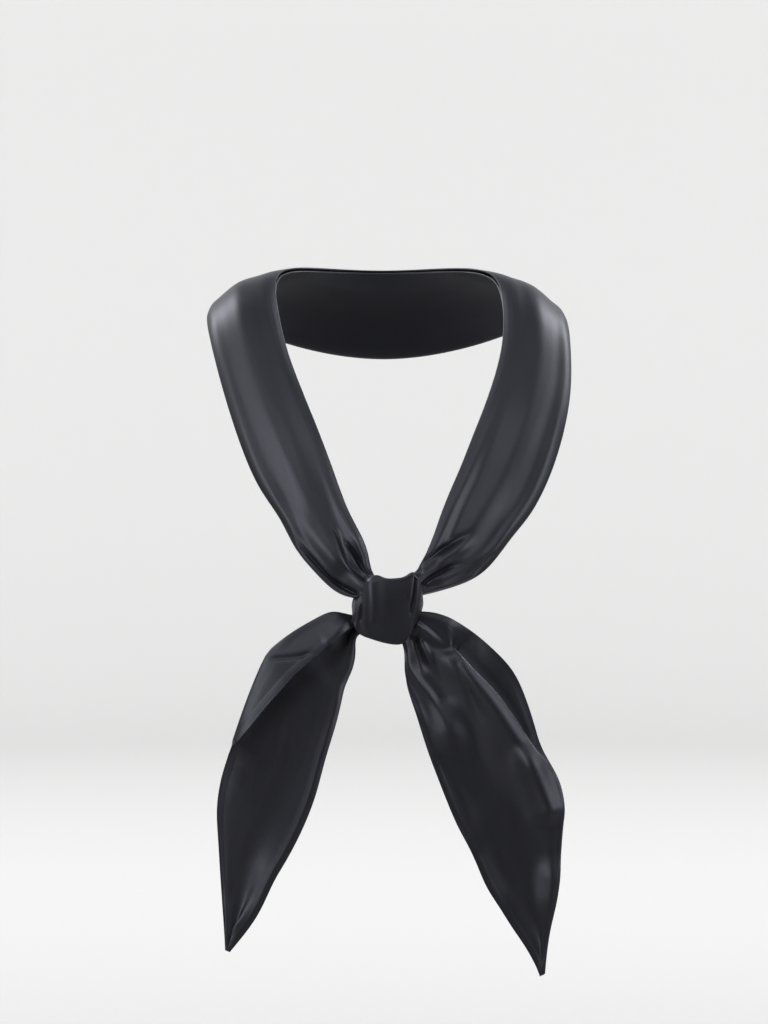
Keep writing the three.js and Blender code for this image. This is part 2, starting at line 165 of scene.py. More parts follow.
# A strip of cloth between its measured edges. section gives the curve of each row as points
# (across, out); the part before the turn and the part after it are spaced evenly, so that a
# fold keeps its own column. A point is inner edge + across * a + out * b.
def strip(piece, section, outward):
    laid = laidOut(piece["rows"], piece["along"])
    inner, outer = laid[:, :3], laid[:, 3:6]
    span = outer - inner
    width = np.linalg.norm(span, axis=1, keepdims=True)
    across = span / width
    travel = np.gradient((inner + outer) / 2, axis=0)
    out = np.cross(travel, across)
    out *= outward / np.linalg.norm(out, axis=1, keepdims=True)
    points, turn = section(width[:, 0], laid[:, 6:].T)
    fine = throughPoints(points)
    corner = round(turn / (points.shape[1] - 1) * (fine.shape[1] - 1))
    before, after = piece["across"]
    first, second = evenly(fine[:, : corner + 1], before), evenly(fine[:, corner:], after)
    curve = np.concatenate([first, second[:, 1:]], axis=1)
    grid = inner[:, None] + across[:, None] * curve[..., :1] + out[:, None] * curve[..., 1:]
    return grid, np.broadcast_to(out[:, None], grid.shape)


# The way along each column and each row of a grid, up to each of its points.
def runs(grid):
    down = np.linalg.norm(np.diff(grid, axis=0), axis=2)
    side = np.linalg.norm(np.diff(grid, axis=1), axis=2)
    along = np.concatenate([np.zeros((1, grid.shape[1])), np.cumsum(down, axis=0)])
    across = np.concatenate([np.zeros((grid.shape[0], 1)), np.cumsum(side, axis=1)], axis=1)
    return along, across


# Wrinkles stretched along the cloth: a list of (size across, length, height), one noise each,
# which starts a few cells inside its lattice.
def wrinkled(grid, out, wrinkles, seed, start=9):
    along, across = runs(grid)
    middle = along.mean(axis=1, keepdims=True) + 0 * across
    height = 0
    for k, (size, length, amount) in enumerate(wrinkles):
        height = height + amount * softNoise(middle / length + start, across / size + start, seed + k)
    return grid + out * height[..., None]


cloth = {
    "layer": 0.55,
    "hemWidth": 5.0,
    "hemFade": (1.8, 0.6),  # how far inside and outside its width the hem thins out
    "hemExtra": 0.8,  # what a hem adds, in layers
    "seamInset": 1.6,  # from the hem's width back to its seam
    "seamWidth": 0.45,
    "seamDepth": 0.2,  # in layers
}


# The thickness of the cloth: one layer, and about twice that in the hem that is turned in along
# its edges, with a slight groove where the hem's inner edge is sewn down. With endToo the last
# row is hemmed as well.
def hemmed(grid, endToo=True):
    along, across = runs(grid)
    edge = np.minimum(across, across[:, -1:] - across)
    if endToo:
        edge = np.minimum(edge, along[-1:] - along)
    width, (inside, outside) = cloth["hemWidth"], cloth["hemFade"]
    hem = 1 - ramp(width - inside, width + outside, edge)
    groove = np.exp(-(((edge - width + cloth["seamInset"]) / cloth["seamWidth"]) ** 2))
    return cloth["layer"] * (1 + cloth["hemExtra"] * hem - cloth["seamDepth"] * groove)


# Quads of a wall with a grid of points on either side: the two sides face away from each
# other, and quads along the free edges join them. With closed true the last row joins the first.
def wallQuads(rows, columns, closed):
    i, j = np.meshgrid(np.arange(rows if closed else rows - 1), np.arange(columns - 1), indexing="ij")
    a = i * columns + j
    b = (i + 1) % rows * columns + j
    outside = np.stack([a, a + 1, b + 1, b], axis=-1).reshape(-1, 4)
    back = rows * columns
    faces = [outside, outside[:, ::-1] + back]
    for column, flip in ((0, 1), (columns - 1, -1)):
        first = np.arange(rows if closed else rows - 1) * columns + column
        after = (first + columns) % back
        faces.append(np.stack([first, after, after + back, first + back], axis=-1)[:, ::flip])
    if not closed:
        for row, flip in ((0, -1), (rows - 1, 1)):
            first = np.arange(columns - 1) + row * columns
            faces.append(np.stack([first, first + 1, first + 1 + back, first + back], axis=-1)[:, ::flip])
    return np.concatenate(faces)


# The cloth round the middle surface that a grid describes: the grid moved half of the thickness
# to either side. Where the volume inside comes out negative, the faces are turned round. The UV
# map is in metres of cloth: across, along. Returns the piece, its flat size and its flat area.
def clothMesh(name, grid, thickness, closed=False):
    offset = squareTo(grid, closed) * (thickness / 2)[..., None]
    places = np.concatenate([(grid + offset).reshape(-1, 3), (grid - offset).reshape(-1, 3)]) * mm
    quads = wallQuads(*grid.shape[:2], closed)
    corner = places[quads]
    volume = (corner[:, 0] * np.cross(corner[:, 1], corner[:, 2])).sum()
    volume += (corner[:, 0] * np.cross(corner[:, 2], corner[:, 3])).sum()
    if volume < 0:
        quads = quads[:, ::-1]
    along, across = runs(grid)
    flat = np.stack([across, along.mean(axis=1, keepdims=True) + 0 * across], axis=-1).reshape(-1, 2) * mm
    mesh = bpy.data.meshes.new(name)
    mesh.vertices.add(len(places))
    mesh.vertices.foreach_set("co", places.ravel())
    mesh.loops.add(quads.size)
    mesh.loops.foreach_set("vertex_index", quads.ravel())
    mesh.polygons.add(len(quads))
    mesh.polygons.foreach_set("loop_start", np.arange(len(quads)) * 4)
    mesh.polygons.foreach_set("use_smooth", np.ones(len(quads), bool))
    uv = mesh.uv_layers.new(name="cloth")
    uv.uv.foreach_set("vector", np.concatenate([flat, flat])[quads.ravel()].ravel())
    mesh.update()
    mesh.validate()
    piece = bpy.data.objects.new(name, mesh)
    scene.collection.objects.link(piece)
    sides = np.cross(np.diff(grid, axis=0)[:, :-1], np.diff(grid, axis=1)[:-1])
    area = np.linalg.norm(sides, axis=2).sum() * mm**2
    print(f"stage: {name} made, flat {across.max():.0f} x {along.max():.0f} mm, {len(quads) * 2} triangles")
    return piece, (across.max() * mm, along.max() * mm), area


# Neck band. The cloth comes from inside the knot, goes round the nape and back down. A row is
# inner edge, outer edge, crown, height of its pleats, extra room between its two layers.
neckBand = {
    "along": 320,  # rows of the grid
    "across": (116, 38),  # steps across it before the fold and after it
    "rows": [
        ((0.5, -177, -196.5), (-11.5, -179, -206), 0.5, 0.6, 5),
        ((-6.2, -176, -190), (-17, -178, -205.4), 1, 0.9, 4.6),
        ((-9, -173, -178.5), (-29, -174, -201.5), 1.5, 1.2, 2.4),
        ((-13.5, -169, -166), (-42.8, -171, -189.5), 2, 1.3, 2),
        ((-22, -161, -150), (-55.5, -165, -174.5), 2.5, 1.2, 1.6),
        ((-31, -151, -127), (-66, -158, -156), 3, 1, 1.2),
        ((-41, -138, -101), (-79, -149, -137), 3.5, 0.8, 0.8),
        ((-51, -122, -78), (-92, -134, -109), 4, 0.6, 0.6),
        ((-62, -101, -50), (-104, -112, -75), 5, 0.5, 0.4),
        ((-68.5, -78, -22), (-113, -87, -44), 6, 0.45, 0.4),
        ((-68, -52, -6), (-115, -57, -29), 6.5, 0.4, 0.4),
        ((-58, -27, 0), (-104, -22, -32), 6, 0.4, 0.4),
        ((-36, -9, 1), (-70, 9, -48), 4.5, 0.4, 0.4),
        ((0, -1, 0.5), (0, 21, -60), 3.5, 0.4, 0.4),
        ((36, -9, 1), (70, 9, -48), 4.5, 0.4, 0.4),
        ((59, -27, -1), (105, -22, -33), 6, 0.4, 0.4),
        ((71.5, -52, -8), (117.5, -57, -31), 6.5, 0.4, 0.4),
        ((76, -77, -25), (120.5, -86, -46), 6, 0.45, 0.4),
        ((74.5, -101, -51), (120, -110, -74), 5, 0.5, 0.4),
        ((65.5, -124, -81), (115, -131, -101), 4, 0.7, 0.6),
        ((56, -138, -104), (106, -145, -128), 3.5, 0.9, 0.9),
        ((47.5, -149, -124), (93.5, -155, -152), 3, 1.1, 1.2),
        ((39.5, -158, -142), (80.5, -163, -168), 2.5, 1.3, 1.6),
        ((32.5, -166, -159), (67, -168, -184.5), 2, 1.3, 2),
        ((27, -172, -173.5), (49.5, -172, -196), 1.5, 1.2, 2.4),
        ((19.5, -176, -188), (24, -178, -203), 1, 0.8, 4.4),
        ((9.5, -177, -193.5), (13.5, -179, -205), 0.5, 0.6, 5),
    ],
    "layerGap": 2.6,
    # Pleats of the outer layer: share of the width, height in pleats.
    "folds": ((0.02, 0), (0.13, 1.2), (0.27, -0.2), (0.52, 1.5), (0.79, -0.3), (0.92, 0.9)),
    "lining": (0.93, 0.5, 0.03),  # shares of the width where the inner layer is set
    "creasesFrom": (-110, -140),  # y between which the creases grow to their full height
    "creases": {
        "leftOuter": {
            "path": ((-58.2, -162.3), (-50.7, -174.2), (-45.1, -180.5), (-39.5, -186.8),
                     (-33.8, -192.4), (-27.6, -196.8), (-21.3, -200), (-13.8, -203.1)),
            "height": -3.4, "width": 1.7, "fade": (0.25, 0.1),
        },
        "leftRim": {
            "path": ((-52.6, -181.1), (-44.5, -191.2), (-35.1, -200), (-24.5, -206.3)),
            "height": 0.8, "width": 1.6, "fade": (0.3, 0.3),
        },
        "leftBroad": {
            "path": ((-63.2, -143.4), (-47.6, -163.5), (-35.7, -176.7), (-23.8, -189.9)),
            "height": 2.4, "width": 6.5, "fade": (0.3, 0.2),
        },
        "leftInner": {
            "path": ((-35.1, -156), (-29.4, -164.2), (-26.9, -170.4), (-23.8, -178.6),
                     (-20.1, -185.5), (-15, -189.9), (-10.7, -193.1)),
            "height": -2, "width": 1.5, "fade": (0.3, 0.1),
        },
        "leftTop": {
            "path": ((-26.9, -164.8), (-23.2, -171.1), (-19.4, -176.1), (-15.7, -182.4),
                     (-11.3, -188), (-6.9, -191.8)),
            "height": -2.4, "width": 1.4, "fade": (0.3, 0.05),
        },
        "leftTopEdge": {
            "path": ((-20, -162.3), (-13.8, -173.6), (-8.8, -184.9)),
            "height": 1.2, "width": 2.2, "fade": (0.4, 0.2),
        },
        "rightTop": {
            "path": ((22.6, -188.7), (25.7, -183.6), (30.1, -178.6), (35.7, -174.8),
                     (40.7, -171.7), (45.7, -168.5), (52, -165.4), (58.9, -161)),
            "height": -2.2, "width": 1.6, "fade": (0.1, 0.4),
        },
        "rightMain": {
            "path": ((22.6, -198.1), (26.3, -193.7), (30.1, -190.9), (35.1, -188),
                     (40.1, -185.5), (45.1, -183.6), (51.4, -180.5)),
            "height": -3.4, "width": 1.7, "fade": (0.05, 0.45),
        },
        "rightUpper": {
            "path": ((30.1, -184.9), (38.8, -179.2), (47.6, -174.2), (58.9, -167.3)),
            "height": 1.6, "width": 3.2, "fade": (0.3, 0.4),
        },
        "rightLower": {
            "path": ((28.8, -196.8), (38.9, -191.8), (50.1, -186.1), (61.4, -178.6),
                     (70.8, -168.5)),
            "height": 1.8, "width": 3.4, "fade": (0.2, 0.4),
        },
        "rightNotch": {
            "path": ((54.5, -193.7), (60.2, -188), (65.8, -182.4), (72, -176.7)),
            "height": -3, "width": 2.2, "fade": (0.3, 0.3),
        },
    },
    "wrinkles": ((11, 90, 0.45), (4, 40, 0.1)),
    "seed": 11,
}


# Points of a section from lists of (across, out), as an array (rows, points, 2).
def asSection(points):
    return np.stack([np.stack(np.broadcast_arrays(*p), axis=-1) for p in points], axis=1)


# Section of the band: the outer layer with its pleats, round the fold at the outer edge, and
# back along the plain inner layer. The crown arches it: 4 * crown * share * (1 - share). As
# each section does, it also returns the number of the point where the cloth turns.
def bandSection(width, extras):
    crown, pleat, room = extras
    gap = neckBand["layerGap"] + room

    def arch(share):
        return crown * 4 * share * (1 - share)

    front = [(at * width, gap + height * pleat + arch(at)) for at, height in neckBand["folds"]]
    fold = [(width, gap / 2)]
    back = [(share * width, arch(share)) for share in neckBand["lining"]]
    return asSection(front + fold + back), len(front)


# Left tail. A row is inner edge, outer edge, share of the width that the flap reaches back over
# the front, how far the flap stands off, depth of the hollow in the middle. Where there is no
# flap, the fourth number says how far the outer edge leans back.
leftTail = {
    "along": 230,
    "across": (104, 60),
    "rows": [
        ((-6.5, -180, -223), (-12, -180, -215), 0.5, 3.6, 0.5),
        ((-16.8, -181, -228.5), (-20, -180, -215.4), 0.5, 4.2, 0.5),
        ((-18.1, -182, -237.9), (-31.2, -180, -213.4), 0.5, 6.5, 1),
        ((-20, -184, -248.9), (-41.8, -181, -217), 0.46, 7.5, 0.8),
        ((-24.3, -186, -259.2), (-53.6, -184, -223.4), 0.43, 8, 1),
        ((-26.8, -189, -269), (-63.2, -187, -229.7), 0.4, 8, 1.4),
        ((-29.3, -191, -279.4), (-71.2, -189, -236.4), 0.36, 7.5, 1.8),
        ((-32.3, -193, -289.7), (-76.8, -191, -245.9), 0.31, 7, 2.2),
        ((-37.3, -195, -306.4), (-84.8, -193, -265.3), 0.2, 6, 2.6),
        ((-42.3, -197, -324.9), (-91.5, -195, -284.3), 0.09, 5, 2.8),
        ((-47.9, -198, -340.4), (-97.2, -196, -301.8), 0, 2.4, 2.8),
        ((-54.1, -199, -354), (-101.9, -197, -317.5), 0, 3.2, 3),
        ((-61.9, -199, -368.5), (-104.2, -197, -331), 0, 2.6, 3.6),
        ((-69.7, -199, -382.3), (-104.6, -197, -348), 0, 2.2, 4.6),
        ((-79, -198, -401.5), (-103.2, -196, -374), 0, 1.8, 4.2),
        ((-90.4, -198, -417.5), (-101, -196, -403), 0, 1.4, 2),
        ((-96.4, -197, -425), (-99.4, -197, -424), 0, 1, 0.2),
    ],
    "creases": {
        "topRim": {
            "path": ((-23.7, -211.3), (-33.7, -213.2), (-47.4, -218.8), (-59.9, -226.9),
                     (-71.1, -236.3)),
            "height": 1, "width": 3.6, "fade": (0.15, 0.3),
        },
        "pocket": {
            "path": ((-29.3, -212.5), (-32.4, -221.3), (-38.7, -230.1), (-48.6, -236.3),
                     (-59.9, -239.5)),
            "height": 0.5, "width": 7, "fade": (0.2, 0.35),
        },
        "pocketCrease": {
            "path": ((-72.4, -240.7), (-64.9, -240.7), (-57.4, -240.1), (-49.9, -238.9),
                     (-42.4, -236.3)),
            "height": -0.9, "width": 1.4, "fade": (0.3, 0.3),
        },
        "litStrip": {
            "path": ((-21.2, -213.2), (-26.2, -221.3), (-31.8, -227.6), (-38.7, -233.2)),
            "height": 1.4, "width": 4.2, "fade": (0.2, 0.2),
        },
        "lowHollow": {
            "path": ((-75.1, -343.4), (-86.5, -373.7), (-92.8, -399.1)),
            "height": -0.8, "width": 9, "fade": (0.4, 0.25),
        },
    },
    "wrinkles": ((30, 60, 0.9), (13, 80, 0.35), (5, 40, 0.06)),
    "seed": 21,
}

# Right tail. A row is inner edge, outer edge, share of the width that shows behind the tuck, how
# deep the tuck goes, how far the front layer stands off, depth of the hollow.
rightTail = {
    "along": 230,
    "across": (104, 60),
    "rows": [
        ((5, -183, -222.5), (13.5, -183, -214), 0.2, 0, 2.6, 0.5),
        ((12, -184, -234.5), (23.4, -182, -213), 0.24, 0, 3.2, 0.8),
        ((13.1, -184, -247.4), (35, -182, -214.6), 0.26, 0, 3.8, 1.4),
        ((15, -185, -261.4), (45.5, -182, -219.2), 0.26, 0.4, 4.2, 2),
        ((20, -187, -276.8), (56.1, -184, -226.1), 0.25, 4, 4.6, 2.6),
        ((26.2, -189, -296), (67.4, -187, -235.6), 0.235, 8, 4.8, 3),
        ((32.4, -191, -313.2), (78.5, -189, -247.2), 0.21, 8.5, 4.8, 3.2),
        ((40.5, -193, -333.7), (86.2, -191, -261.3), 0.17, 7.5, 4.6, 3.2),
        ((46.9, -195, -347.8), (92.8, -193, -280.2), 0.11, 5.5, 3, 2.6),
        ((52.9, -197, -358.9), (99, -195, -298.3), 0.04, 3, 1.6, 2.2),
        ((58.5, -198, -371.2), (108.2, -196, -315.5), 0, 0, 0.9, 2),
        ((64.3, -199, -384.2), (112.2, -197, -333.4), 0, 0, 0.7, 2),
        ((72.2, -199, -396.8), (111.2, -197, -349.6), 0, 0, 1, 2.2),
        ((80, -199, -409.2), (109.8, -197, -368.4), 0, 0, 0.8, 1.8),
        ((88.4, -198, -422), (106.8, -196, -392.4), 0, 0, 0.8, 1),
        ((94.6, -198, -433.4), (102.6, -196, -418), 0, 0, 0.6, 0.4),
        ((97.4, -197, -440.4), (100.6, -197, -438.8), 0, 0, 0.5, 0.1),
    ],
    "creases": {
        "hump": {
            "path": ((19.9, -215), (31.2, -218.8), (42.4, -224.4), (53.6, -232)),
            "height": 2.6, "width": 7, "fade": (0.05, 0.45),
        },
        "humpUnder": {
            "path": ((20, -226.3), (27.4, -232), (36.2, -235.7), (48.7, -237.6)),
            "height": -2.6, "width": 3.4, "fade": (0.1, 0.35),
        },
        "firstLight": {
            "path": ((21.2, -225.1), (23.7, -231.3), (26.8, -238.9), (30.6, -247), (35.6, -257.7)),
            "height": 1.6, "width": 2.3, "fade": (0.2, 0.45),
        },
        "firstDark": {
            "path": ((18.1, -227.6), (20, -236.3), (22.5, -245.1), (26.2, -253.9)),
            "height": -2, "width": 3, "fade": (0.1, 0.35),
        },
        "edgeLight": {
            "path": ((15, -235.1), (15, -243.9), (17.5, -251.4), (22.5, -258.3), (28.1, -264.6),
                     (33.1, -272.8), (38.7, -282.8), (45, -295.4)),
            "height": 1.9, "width": 3, "fade": (0.15, 0.45),
        },
        "innerDark": {
            "path": ((13.7, -247.6), (16.2, -258.9), (21.9, -272.8), (27.5, -286.6)),
            "height": -1.2, "width": 2.2, "fade": (0.3, 0.4),
        },
        "patch": {
            "path": ((35.6, -265.2), (38.7, -276.5), (44.4, -292.9), (51.3, -311.8)),
            "height": 4.8, "width": 9.5, "fade": (0.6, 0.5),
        },
        "thirdDark": {
            "path": ((42.4, -237.6), (46.8, -247.6), (51.2, -257.7), (56.2, -269), (63.7, -285.3)),
            "height": -1.5, "width": 3.2, "fade": (0.2, 0.4),
        },
        "ridgeRoll": {
            "path": ((38.7, -236.3), (49.9, -247.6), (63.1, -262.7), (74.3, -277.8),
                     (83.1, -291.6), (91.3, -306.8), (97.6, -324.4)),
            "height": 3.1, "width": 6.5, "fade": (0.15, 0.3),
        },
        "lowDark": {
            "path": ((33.8, -299.2), (40, -313.1), (48.8, -330.7), (58.9, -353.5)),
            "height": -0.8, "width": 5, "fade": (0.3, 0.3),
        },
        "corner": {
            "path": ((84.4, -291.6), (91.3, -304.2), (96.3, -318.1), (101.4, -332),
                     (106.4, -345.9)),
            "height": 6.4, "width": 9.5, "fade": (0.35, 0.2),
        },
        "underCrease": {
            "path": ((107.7, -361.1), (107.2, -376.2), (103.5, -394), (98.5, -413)),
            "height": 4, "width": 9, "fade": (0.4, 0.4),
        },
        "lowCloud": {
            "path": ((63.9, -354.7), (73.9, -372.4), (82.8, -394)),
            "height": -1.6, "width": 9, "fade": (0.3, 0.3),
        },
    },
    "wrinkles": ((30, 60, 0.9), (13, 80, 0.35), (5, 40, 0.06)),
    "seed": 31,
}

# What both tails share.
tailEdge = {
    "lip": 6.5,  # width of the rolled inner edge
    "hem": 2.0,  # width of the outer edge where it lies flat
    "most": 0.3,  # share of a narrow tail that either of them may take
    "foldFade": 3.0,  # a fold that reaches less than this runs out
    "gathers": 2.5,  # waves across the tail at the knot
    "gatherHeight": 0.5,
    "gatherReach": 0.35,  # share of the length that is gathered
    "gatherPower": 1.5,  # how quickly the waves fade
}


# Widths of the inner lip and of the outer hem, narrowed where the tail is narrow.
def edgeWidths(width):
    return [np.minimum(tailEdge[part], tailEdge["most"] * width) for part in ("lip", "hem")]


# The folded list of points where a fold is wide, the flat one where it has run out.
def foldedOrFlat(flat, folded, reach):
    share = np.minimum(1, reach / tailEdge["foldFade"])[:, None, None]
    return asSection(flat) * (1 - share) + asSection(folded) * share


# Section of the left tail: a back layer with a rolled inner edge and a hollow, folded forward
# at the silhouette into a flap. Below the flap the cloth runs out to its hem and leans back.
# Each point is (across, out), made of shares of the lengths that are named.
def leftSection(width, extras):
    flap, lift, hollow = extras
    reach = np.maximum(0, flap) * width
    lip, hem = edgeWidths(width)
    back = [
        (0 * width, -0.12 * lip),
        (0.5 * lip, 0.02 * lip),
        (1.3 * lip, -0.24 * hollow),
        (0.34 * width, -0.78 * hollow),
        (0.6 * width, -hollow),
    ]
    folded = [
        (0.86 * width, -0.6 * hollow),
        (width, 0.25 * lift),
        (width - 0.35 * reach, 0.75 * lift),
        (width - reach, 1.25 * lift),
    ]
    flat = [
        (0.82 * width, -hollow - 0.35 * lift),
        (width - hem, -hollow - 0.8 * lift),
        (width - 0.5 * hem, -hollow - 0.82 * lift),
        (width, -hollow - 0.84 * lift),
    ]
    turn = len(back) + 1  # the fold at the silhouette
    return np.concatenate([asSection(back), foldedOrFlat(flat, folded, reach)], axis=1), turn


# Section of the right tail: the front layer runs to a ridge, tucks in under itself there, and
# comes out again as the layer that shows behind. Below the tuck it runs on flat.
def rightSection(width, extras):
    shown, depth, lift, hollow = extras
    tuck = np.maximum(0, depth)
    lip, hem = edgeWidths(width)
    ridge = width - np.maximum(hem, shown * width)
    front = [
        (0 * width, 0 * width),
        (0.5 * lip, 0.05 * lip),
        (1.4 * lip, 0.04 * lip),
        (0.5 * ridge, 0.6 * lift - hollow),
        (0.84 * ridge, lift),
        (ridge, 0.35 * lift),
    ]
    tucked = [
        (ridge - 0.5 * tuck, -0.1 * lift),
        (ridge - tuck, -0.5 * lift),
        (ridge - 0.4 * tuck, -1.05 * lift),
        (width, -lift),
    ]
    flat = [(ridge + k * (width - ridge), 0.5 * (1 - k) * lift) for k in (0.25, 0.5, 0.75, 1)]
    turn = len(front) - 1  # the ridge
    return np.concatenate([asSection(front), foldedOrFlat(flat, tucked, tuck)], axis=1), turn


# Waves where a tail is gathered into the knot: height * (1 - share / reach) ** power * sine.
def gathered(grid, out):
    rows, columns = grid.shape[:2]
    fade = np.maximum(0, 1 - np.linspace(0, 1, rows) / tailEdge["gatherReach"]) ** tailEdge["gatherPower"]
    wave = np.sin(2 * np.pi * tailEdge["gathers"] * np.linspace(0, 1, columns))
    return grid + out * (tailEdge["gatherHeight"] * fade[:, None] * wave)[..., None]


# A finished tail: its strip, gathered at the knot, then its creases and its wrinkles. A crease
# moves both layers of a fold alike.
def tail(name, piece, section, outward):
    grid, out = strip(piece, section, outward)
    grid = gathered(grid, out)
    grid = grid + out * creaseHeights(grid, piece["creases"])[..., None]
    grid = wrinkled(grid, out, piece["wrinkles"], piece["seed"])
    return clothMesh(name, grid, hemmed(grid))


# Knot wrap. A row is a step round the knot, from the middle of the face by way of -X and the
# back to +X: upper rim, lower rim, how far the wall swells out between them.
knotWrap = {
    "around": 320,  # sections round the knot
    "up": 110,  # steps from the inside of one rim to the inside of the other
    "wall": 1.1,
    "centre": (3, -182, -210),  # the wall swells away from the upright line through this point
    "rows": [
        ((6.5, -194, -191.6), (-2, -191, -230.4), 3.6),
        ((-0.5, -194, -191.2), (-9.5, -191, -228), 3.4),
        ((-7.5, -193, -190.5), (-15.5, -190, -225.2), 2.8),
        ((-13.8, -190, -201.5), (-18.6, -189.5, -219.5), 1.3),
        ((-18.8, -182, -206.2), (-19.4, -182, -213.9), 0.5),
        ((-15, -174, -203), (-16, -174, -217), 0.6),
        ((2.5, -171.2, -199), (1, -171.2, -222.5), 1),
        ((18.5, -173, -200.5), (16.5, -173, -218), 0.6),
        ((23.6, -182, -205.8), (23.4, -182, -211.4), 0.5),
        ((22.8, -190, -197.5), (18.2, -190, -221.5), 1.2),
        ((19.2, -193.3, -188.2), (12.4, -190.8, -230.8), 2.6),
        ((13.4, -194, -190.2), (5, -191, -231.8), 3.4),
    ],
    "levels": 21,  # points up the wall between its rims
    "swellPlace": (0.06, 0.92, 1.5),  # start, span and power of the sine that it swells by
    "curl": 2.4,  # how far the rims turn in
    "rimBend": 0.55,  # share of the curl where a rim turns over
    "rimOver": 0.1,  # how far it stands past the wall there
    "rimReturn": 1.4,  # how far it comes back along the wall
    "spanPoints": 8,  # fine points between two levels
    "creasesFrom": (-186, -191),  # y between which the creases grow to their full height
    "creases": {
        "seam": {
            "path": ((20.5, -186.3), (19.5, -195), (18.6, -203.1), (17.4, -208.7), (16.5, -215.6)),
            "height": -2.2, "width": 1, "fade": (0.02, 0.3),
        },
        "seamLight": {
            "path": ((17.1, -190.6), (16.4, -198.1), (15.2, -206.8)),
            "height": 0.5, "width": 1.2, "fade": (0.2, 0.3),
        },
        "leftEdge": {
            "path": ((-14.3, -193.1), (-14.6, -203.1), (-14.9, -211.8), (-15.5, -220.6)),
            "height": -1.6, "width": 1.1, "fade": (0.1, 0.3),
        },
        "stripe": {
            "path": ((-5.6, -189.4), (-5.6, -199.3), (-5.6, -209.3), (-5.9, -219.3),
                     (-6.2, -229.3)),
            "height": 2.6, "width": 4.6, "fade": (0.1, 0.3),
        },
    },
}


# The wrap as upright sections, one for each step round. The wall goes from the lower rim to the
# upper one and swells out by swell * sin(pi * (start + span * height) ** power), most above the
# middle, and both rims curl in.
def wrapGrid(piece):
    laid = laidOut(piece["rows"], piece["around"], closed=True)
    top, bottom, swell = laid[:, None, :3], laid[:, None, 3:6], laid[:, None, 6:]
    height = np.linspace(0, 1, piece["levels"])[None, :, None]
    face = bottom * (1 - height) + top * height
    away = (face - np.array(piece["centre"])) * (1, 1, 0)
    away /= np.linalg.norm(away, axis=2, keepdims=True)
    start, span, power = piece["swellPlace"]
    face = face + away * swell * np.sin(np.pi * (start + span * height) ** power)
    inward = -away[:, :1] * piece["curl"]
    bent = piece["rimBend"] * inward
    over, back = (0, 0, piece["rimOver"]), (0, 0, piece["rimReturn"])
    low = [face[:, :1] + inward + back, face[:, :1] + bent - over]
    high = [face[:, -1:] + bent + over, face[:, -1:] + inward - back]
    fine = throughPoints(np.concatenate(low + [face] + high, axis=1), piece["spanPoints"])
    middle = piece["levels"] // 2
    return evenly(fine, piece["up"]), away[:, middle : middle + 1]


# Creases that show on the front of a piece only: they grow between two places in y.
def frontCreases(grid, out, piece):
    front = ramp(*piece["creasesFrom"], grid[..., 1])
    return grid + out * (creaseHeights(grid, piece["creases"]) * front)[..., None]


bandGrid, bandOut = strip(neckBand, bandSection, 1)
bandGrid = frontCreases(bandGrid, bandOut, neckBand)
bandGrid = wrinkled(bandGrid, bandOut, neckBand["wrinkles"], neckBand["seed"])
band, bandFlat, bandArea = clothMesh("neckBand", bandGrid, hemmed(bandGrid, endToo=False))

left, leftFlat, leftArea = tail("leftTail", leftTail, leftSection, -1)
right, rightFlat, rightArea = tail("rightTail", rightTail, rightSection, 1)

knotGrid = frontCreases(*wrapGrid(knotWrap), knotWrap)
wrapThickness = np.full(knotGrid.shape[:2], knotWrap["wall"])
wrap, wrapFlat, wrapArea = clothMesh("knotWrap", knotGrid, wrapThickness, closed=True)


# A socket that does arithmetic: each operator adds the Math node that works it out.
class Value:
    def __init__(self, finish, socket):
        self.finish, self.socket = finish, socket

    def maths(self, operation, *values):
        return self.finish.node("ShaderNodeMath", {"operation": operation}, dict(enumerate(values)))[0]

    def __add__(self, other):
        return self.maths("ADD", self, other)

    def __radd__(self, other):
        return self.maths("ADD", other, self)

    def __sub__(self, other):
        return self.maths("SUBTRACT", self, other)

    def __rsub__(self, other):
        return self.maths("SUBTRACT", other, self)

    def __mul__(self, other):
        return self.maths("MULTIPLY", self, other)

    def __rmul__(self, other):
        return self.maths("MULTIPLY", other, self)


# A material's node tree, with one method that adds any node: its type, the settings that are
# made first, and values or links for its inputs. It returns the node's outputs.
class Finish:
    def __init__(self, name):
        self.material = bpy.data.materials.new(name)
        self.material.use_nodes = True
        self.tree = self.material.node_tree
        self.shader = self.tree.nodes["Principled BSDF"]

    def node(self, kind, settings=None, inputs=None):
        made = self.tree.nodes.new(kind)
        for key, value in (settings or {}).items():
            setattr(made, key, value)
        self.fill(made, inputs or {})
        return [Value(self, socket) for socket in made.outputs]

    def fill(self, made, inputs):
        for key, value in inputs.items():
            if isinstance(value, Value):
                self.tree.links.new(value.socket, made.inputs[key])
            else:
                made.inputs[key].default_value = value


satin = {
    "dark": (0.0010, 0.0010, 0.0019, 1),
    "light": (0.0025, 0.0026, 0.0043, 1),
    "roughness": 0.46,
    "roughnessRange": 0.12,
    "gloss": 0.42,
    "glossTint": (0.87, 0.87, 1, 1),
    "sheen": 0.05,
    "sheenRoughness": 0.45,
    "sheenTint": (0.75, 0.77, 0.9, 1),
    "weave": 1600,  # threads in each metre
    "slubs": 260,  # thicker stretches of thread in each metre
    "clouds": 22,  # patches of tone in each metre
    "stretch": (1, 0.12, 1),  # threads are about eight times as long as they are wide
    "tone": (0.55, 0.45),  # shares of the clouds and the slubs in the colour
    "relief": (0.6, 0.4),  # shares of the threads and the slubs in the bump
    "bump": 0.25,
    "bumpHeight": 0.0002,
}


